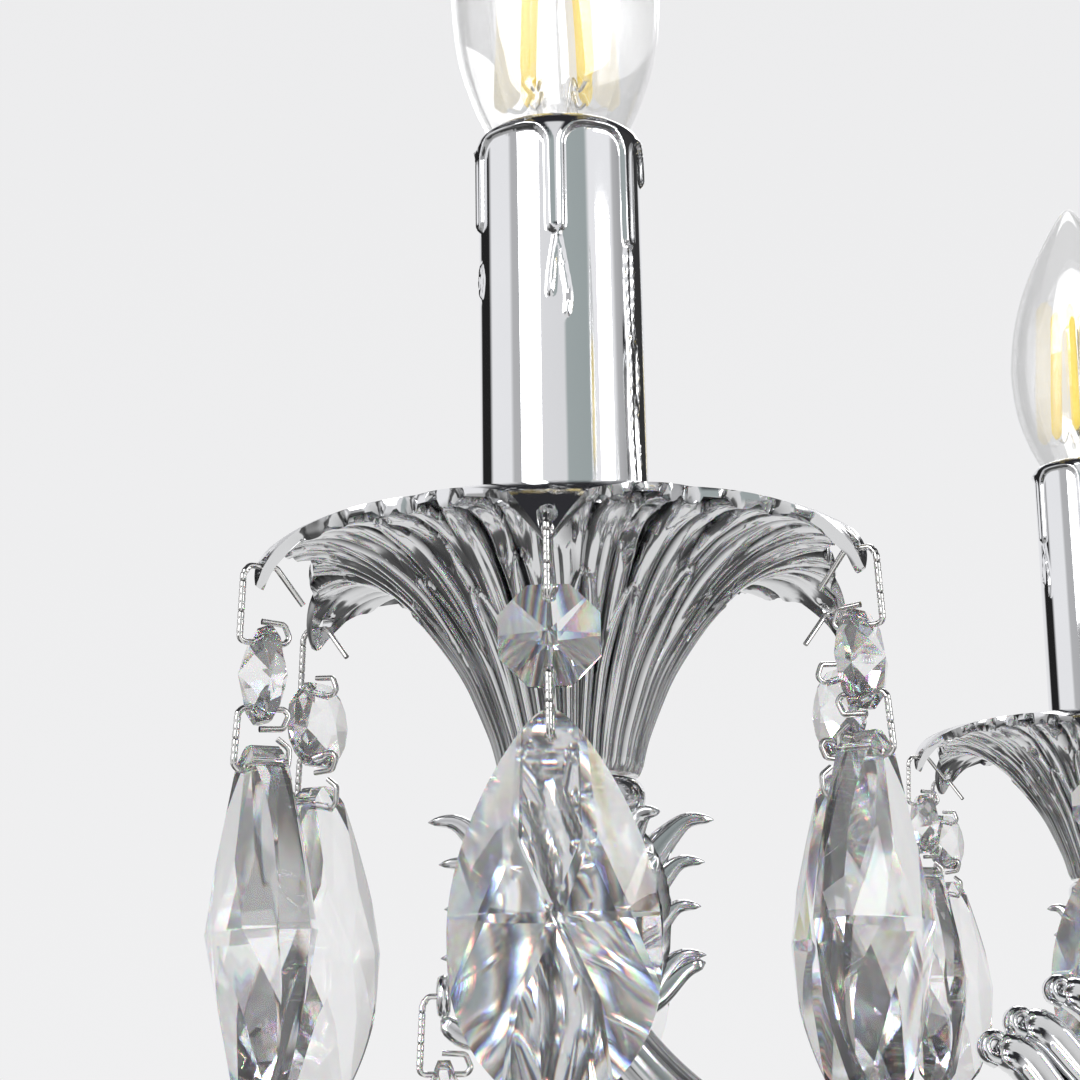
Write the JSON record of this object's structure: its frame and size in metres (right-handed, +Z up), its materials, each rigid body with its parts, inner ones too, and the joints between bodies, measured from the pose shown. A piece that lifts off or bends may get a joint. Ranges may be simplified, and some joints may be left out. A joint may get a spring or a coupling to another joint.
{
  "type": "chandelier",
  "caption": "Polished candle-arm chandelier: fluted lily drip pans on acanthus arms, clear candle bulbs and cut-crystal pendants, hung on a short chain from a ceiling canopy.",
  "frame": {"origin": "centre of the ceiling bracket's upper face, midway between its two ceiling screw holes", "axes": "+Z up towards the ceiling, +X along the bracket; the arms stand round Z, the first at 184 degrees from +X"},
  "size_m": [0.5156, 0.53, 0.5146],
  "materials": {
    "chrome": "polished chrome plate on cast metal",
    "crystal": "cut and polished clear crystal on chromed wire",
    "bulb_glass": "thin clear glass round yellow filaments",
    "zinc_steel": "zinc-plated steel",
    "white_plastic": "white heat-resistant plastic"
  },
  "bodies": {
    "ceiling": {"ceiling_bracket": "zinc_steel", "canopy": "chrome", "canopy_nuts": "chrome", "canopy_ring": "chrome"},
    "chain_link_1": {"chain_link_1": "chrome"},
    "chain_link_2": {"chain_link_2": "chrome"},
    "chain_link_3": {"chain_link_3": "chrome"},
    "chandelier": {"top_ring": "chrome", "centre_tube": "zinc_steel", "leaf_crown": "chrome", "upper_baluster": "chrome", "centre_column": "chrome", "arm_hub": "chrome", "lower_bowl": "chrome", "finial": "chrome", "arms": "chrome", "bobeches": "chrome", "nipples": "zinc_steel", "lock_nuts": "zinc_steel", "lampholders": "white_plastic", "candle_sleeves": "chrome", "bulbs": "bulb_glass"},
    "crystal_ball": {"crystal_ball": "crystal"},
    "pendant_1_lip_1": {"pendant_1_lip_1": "crystal"},
    "pendant_1_lip_2": {"pendant_1_lip_2": "crystal"},
    "pendant_1_lip_3": {"pendant_1_lip_3": "crystal"},
    "pendant_1_lip_4": {"pendant_1_lip_4": "crystal"},
    "pendant_1_lip_5": {"pendant_1_lip_5": "crystal"},
    "pendant_1_lip_6": {"pendant_1_lip_6": "crystal"},
    "pendant_1_curl": {"pendant_1_curl": "crystal"},
    "pendant_2_lip_1": {"pendant_2_lip_1": "crystal"},
    "pendant_2_lip_2": {"pendant_2_lip_2": "crystal"},
    "pendant_2_lip_3": {"pendant_2_lip_3": "crystal"},
    "pendant_2_lip_4": {"pendant_2_lip_4": "crystal"},
    "pendant_2_lip_5": {"pendant_2_lip_5": "crystal"},
    "pendant_2_lip_6": {"pendant_2_lip_6": "crystal"},
    "pendant_2_curl": {"pendant_2_curl": "crystal"},
    "pendant_3_lip_1": {"pendant_3_lip_1": "crystal"},
    "pendant_3_lip_2": {"pendant_3_lip_2": "crystal"},
    "pendant_3_lip_3": {"pendant_3_lip_3": "crystal"},
    "pendant_3_lip_4": {"pendant_3_lip_4": "crystal"},
    "pendant_3_lip_5": {"pendant_3_lip_5": "crystal"},
    "pendant_3_lip_6": {"pendant_3_lip_6": "crystal"},
    "pendant_3_curl": {"pendant_3_curl": "crystal"},
    "pendant_4_lip_1": {"pendant_4_lip_1": "crystal"},
    "pendant_4_lip_2": {"pendant_4_lip_2": "crystal"},
    "pendant_4_lip_3": {"pendant_4_lip_3": "crystal"},
    "pendant_4_lip_4": {"pendant_4_lip_4": "crystal"},
    "pendant_4_lip_5": {"pendant_4_lip_5": "crystal"},
    "pendant_4_lip_6": {"pendant_4_lip_6": "crystal"},
    "pendant_4_curl": {"pendant_4_curl": "crystal"},
    "pendant_5_lip_1": {"pendant_5_lip_1": "crystal"},
    "pendant_5_lip_2": {"pendant_5_lip_2": "crystal"},
    "pendant_5_lip_3": {"pendant_5_lip_3": "crystal"},
    "pendant_5_lip_4": {"pendant_5_lip_4": "crystal"},
    "pendant_5_lip_5": {"pendant_5_lip_5": "crystal"},
    "pendant_5_lip_6": {"pendant_5_lip_6": "crystal"},
    "pendant_5_curl": {"pendant_5_curl": "crystal"}
  },
  "joints": [
    {"name": "chain_link_1_swing", "type": "hinge", "parent": "ceiling", "child": "chain_link_1", "pos_m": [0, 0, -0.054], "axis": [1, 0, 0], "range_deg": [-12, 12]},
    {"name": "chain_link_2_swing", "type": "hinge", "parent": "chain_link_1", "child": "chain_link_2", "pos_m": [0, 0, -0.0785], "axis": [0, 1, 0], "range_deg": [-12, 12]},
    {"name": "chain_link_3_swing", "type": "hinge", "parent": "chain_link_2", "child": "chain_link_3", "pos_m": [0, 0, -0.103], "axis": [1, 0, 0], "range_deg": [-12, 12]},
    {"name": "chandelier_swing", "type": "hinge", "parent": "chain_link_3", "child": "chandelier", "pos_m": [0, 0, -0.1275], "axis": [0, 1, 0], "range_deg": [-12, 12]},
    {"name": "crystal_ball_swing", "type": "hinge", "parent": "chandelier", "child": "crystal_ball", "pos_m": [0, 0, -0.463], "axis": [0, 1, 0], "range_deg": [-20, 20]},
    {"name": "pendant_1_lip_1_swing", "type": "hinge", "parent": "chandelier", "child": "pendant_1_lip_1", "pos_m": [-0.26575, -0.03799, -0.3204], "axis": [-0.8949, -0.4462, 0], "range_deg": [-20, 20]},
    {"name": "pendant_1_lip_2_swing", "type": "hinge", "parent": "chandelier", "child": "pendant_1_lip_2", "pos_m": [-0.22355, -0.06592, -0.3204], "axis": [-0.061, -0.9981, 0], "range_deg": [-20, 20]},
    {"name": "pendant_1_lip_3_swing", "type": "hinge", "parent": "chandelier", "child": "pendant_1_lip_3", "pos_m": [-0.17827, -0.04334, -0.3204], "axis": [0.8339, -0.5519, 0], "range_deg": [-12, 12]},
    {"name": "pendant_1_lip_4_swing", "type": "hinge", "parent": "chandelier", "child": "pendant_1_lip_4", "pos_m": [-0.17518, 0.00716, -0.3204], "axis": [0.8949, 0.4462, 0], "range_deg": [-12, 12]},
    {"name": "pendant_1_lip_5_swing", "type": "hinge", "parent": "chandelier", "child": "pendant_1_lip_5", "pos_m": [-0.21737, 0.03509, -0.3204], "axis": [0.061, 0.9981, 0], "range_deg": [-20, 20]},
    {"name": "pendant_1_lip_6_swing", "type": "hinge", "parent": "chandelier", "child": "pendant_1_lip_6", "pos_m": [-0.26266, 0.01251, -0.3204], "axis": [-0.8339, 0.5519, 0], "range_deg": [-20, 20]},
    {"name": "pendant_1_curl_swing", "type": "hinge", "parent": "chandelier", "child": "pendant_1_curl", "pos_m": [-0.24041, -0.01681, -0.383], "axis": [-0.9976, -0.0698, 0], "range_deg": [-20, 20]},
    {"name": "pendant_2_lip_1_swing", "type": "hinge", "parent": "chandelier", "child": "pendant_2_lip_1", "pos_m": [-0.11825, 0.241, -0.3204], "axis": [-0.7009, 0.7133, 0], "range_deg": [-20, 20]},
    {"name": "pendant_2_lip_2_swing", "type": "hinge", "parent": "chandelier", "child": "pendant_2_lip_2", "pos_m": [-0.13178, 0.19224, -0.3204], "axis": [-0.9681, -0.2504, 0], "range_deg": [-20, 20]},
    {"name": "pendant_2_lip_3_swing", "type": "hinge", "parent": "chandelier", "child": "pendant_2_lip_3", "pos_m": [-0.09631, 0.15615, -0.3204], "axis": [-0.2672, -0.9636, 0], "range_deg": [-12, 12]},
    {"name": "pendant_2_lip_4_swing", "type": "hinge", "parent": "chandelier", "child": "pendant_2_lip_4", "pos_m": [-0.04732, 0.16882, -0.3204], "axis": [0.7009, -0.7133, 0], "range_deg": [-12, 12]},
    {"name": "pendant_2_lip_5_swing", "type": "hinge", "parent": "chandelier", "child": "pendant_2_lip_5", "pos_m": [-0.0338, 0.21758, -0.3204], "axis": [0.9681, 0.2504, 0], "range_deg": [-20, 20]},
    {"name": "pendant_2_lip_6_swing", "type": "hinge", "parent": "chandelier", "child": "pendant_2_lip_6", "pos_m": [-0.06927, 0.25367, -0.3204], "axis": [0.2672, 0.9636, 0], "range_deg": [-20, 20]},
    {"name": "pendant_2_curl_swing", "type": "hinge", "parent": "chandelier", "child": "pendant_2_curl", "pos_m": [-0.09028, 0.22345, -0.383], "axis": [-0.3746, 0.9272, 0], "range_deg": [-20, 20]},
    {"name": "pendant_3_lip_1_swing", "type": "hinge", "parent": "chandelier", "child": "pendant_3_lip_1", "pos_m": [0.19266, 0.18694, -0.3204], "axis": [0.4617, 0.887, 0], "range_deg": [-20, 20]},
    {"name": "pendant_3_lip_2_swing", "type": "hinge", "parent": "chandelier", "child": "pendant_3_lip_2", "pos_m": [0.14211, 0.18473, -0.3204], "axis": [-0.5373, 0.8434, 0], "range_deg": [-20, 20]},
    {"name": "pendant_3_lip_3_swing", "type": "hinge", "parent": "chandelier", "child": "pendant_3_lip_3", "pos_m": [0.11874, 0.13985, -0.3204], "axis": [-0.999, -0.0436, 0], "range_deg": [-12, 12]},
    {"name": "pendant_3_lip_4_swing", "type": "hinge", "parent": "chandelier", "child": "pendant_3_lip_4", "pos_m": [0.14593, 0.09717, -0.3204], "axis": [-0.4617, -0.887, 0], "range_deg": [-12, 12]},
    {"name": "pendant_3_lip_5_swing", "type": "hinge", "parent": "chandelier", "child": "pendant_3_lip_5", "pos_m": [0.19648, 0.09938, -0.3204], "axis": [0.5373, -0.8434, 0], "range_deg": [-20, 20]},
    {"name": "pendant_3_lip_6_swing", "type": "hinge", "parent": "chandelier", "child": "pendant_3_lip_6", "pos_m": [0.21985, 0.14426, -0.3204], "axis": [0.999, 0.0436, 0], "range_deg": [-20, 20]},
    {"name": "pendant_3_curl_swing", "type": "hinge", "parent": "chandelier", "child": "pendant_3_curl", "pos_m": [0.18462, 0.15491, -0.383], "axis": [0.766, 0.6428, 0], "range_deg": [-20, 20]},
    {"name": "pendant_4_lip_1_swing", "type": "hinge", "parent": "chandelier", "child": "pendant_4_lip_1", "pos_m": [0.23733, -0.12546, -0.3204], "axis": [0.9863, -0.165, 0], "range_deg": [-20, 20]},
    {"name": "pendant_4_lip_2_swing", "type": "hinge", "parent": "chandelier", "child": "pendant_4_lip_2", "pos_m": [0.2196, -0.07807, -0.3204], "axis": [0.6361, 0.7716, 0], "range_deg": [-20, 20]},
    {"name": "pendant_4_lip_3_swing", "type": "hinge", "parent": "chandelier", "child": "pendant_4_lip_3", "pos_m": [0.1697, -0.06972, -0.3204], "axis": [-0.3502, 0.9367, 0], "range_deg": [-12, 12]},
    {"name": "pendant_4_lip_4_swing", "type": "hinge", "parent": "chandelier", "child": "pendant_4_lip_4", "pos_m": [0.13751, -0.10876, -0.3204], "axis": [-0.9863, 0.165, 0], "range_deg": [-12, 12]},
    {"name": "pendant_4_lip_5_swing", "type": "hinge", "parent": "chandelier", "child": "pendant_4_lip_5", "pos_m": [0.15523, -0.15616, -0.3204], "axis": [-0.6361, -0.7716, 0], "range_deg": [-20, 20]},
    {"name": "pendant_4_lip_6_swing", "type": "hinge", "parent": "chandelier", "child": "pendant_4_lip_6", "pos_m": [0.20514, -0.16451, -0.3204], "axis": [0.3502, -0.9367, 0], "range_deg": [-20, 20]},
    {"name": "pendant_4_curl_swing", "type": "hinge", "parent": "chandelier", "child": "pendant_4_curl", "pos_m": [0.20438, -0.12771, -0.383], "axis": [0.848, -0.5299, 0], "range_deg": [-20, 20]},
    {"name": "pendant_5_lip_1_swing", "type": "hinge", "parent": "chandelier", "child": "pendant_5_lip_1", "pos_m": [-0.04599, -0.26448, -0.3204], "axis": [0.1478, -0.989, 0], "range_deg": [-20, 20]},
    {"name": "pendant_5_lip_2_swing", "type": "hinge", "parent": "chandelier", "child": "pendant_5_lip_2", "pos_m": [-0.00639, -0.23298, -0.3204], "axis": [0.9304, -0.3665, 0], "range_deg": [-20, 20]},
    {"name": "pendant_5_lip_3_swing", "type": "hinge", "parent": "chandelier", "child": "pendant_5_lip_3", "pos_m": [-0.01387, -0.18294, -0.3204], "axis": [0.7826, 0.6225, 0], "range_deg": [-12, 12]},
    {"name": "pendant_5_lip_4_swing", "type": "hinge", "parent": "chandelier", "child": "pendant_5_lip_4", "pos_m": [-0.06094, -0.16439, -0.3204], "axis": [-0.1478, 0.989, 0], "range_deg": [-12, 12]},
    {"name": "pendant_5_lip_5_swing", "type": "hinge", "parent": "chandelier", "child": "pendant_5_lip_5", "pos_m": [-0.10054, -0.19589, -0.3204], "axis": [-0.9304, 0.3665, 0], "range_deg": [-20, 20]},
    {"name": "pendant_5_lip_6_swing", "type": "hinge", "parent": "chandelier", "child": "pendant_5_lip_6", "pos_m": [-0.09306, -0.24593, -0.3204], "axis": [-0.7826, -0.6225, 0], "range_deg": [-20, 20]},
    {"name": "pendant_5_curl_swing", "type": "hinge", "parent": "chandelier", "child": "pendant_5_curl", "pos_m": [-0.0583, -0.23384, -0.383], "axis": [-0.2419, -0.9703, 0], "range_deg": [-20, 20]}
  ]
}
